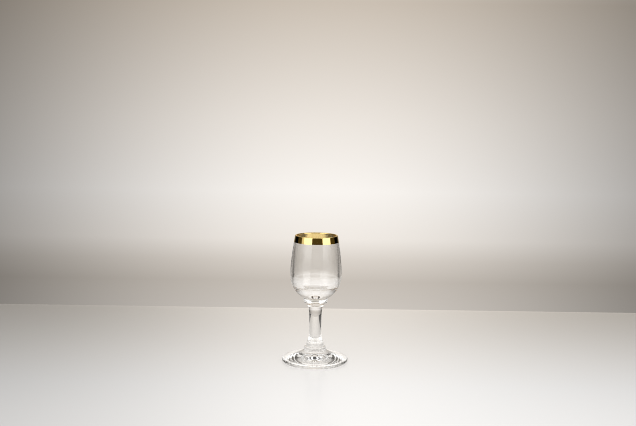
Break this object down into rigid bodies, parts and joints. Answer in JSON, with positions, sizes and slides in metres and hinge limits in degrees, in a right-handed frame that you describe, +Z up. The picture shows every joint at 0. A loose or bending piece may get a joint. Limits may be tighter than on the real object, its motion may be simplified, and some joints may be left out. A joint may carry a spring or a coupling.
{
  "type": "vodka glass",
  "caption": "Small stemmed spirits glass: a clear barrel-shaped bowl with a gold-banded rim, carried by a stepped collar, a short solid stem and a round conical foot.",
  "frame": {"origin": "centre of the standing plane under the foot, on the glass's own axis", "axes": "+Z up along the axis from the foot to the rim; X and Y are alike, because every piece is turned about Z"},
  "size_m": [0.0586, 0.0586, 0.112],
  "materials": {
    "clear_glass": "clear colourless soda-lime glass, fire-polished",
    "fired_gold": "bright fired-on gold, mirror-like, with faint brush lines round the rim"
  },
  "bodies": {
    "root": {"foot": "clear_glass", "stem_base": "clear_glass", "stem": "clear_glass", "bowl_collar": "clear_glass", "bowl": "clear_glass", "gold_band": "fired_gold", "gold_lip": "fired_gold"}
  },
  "joints": []
}
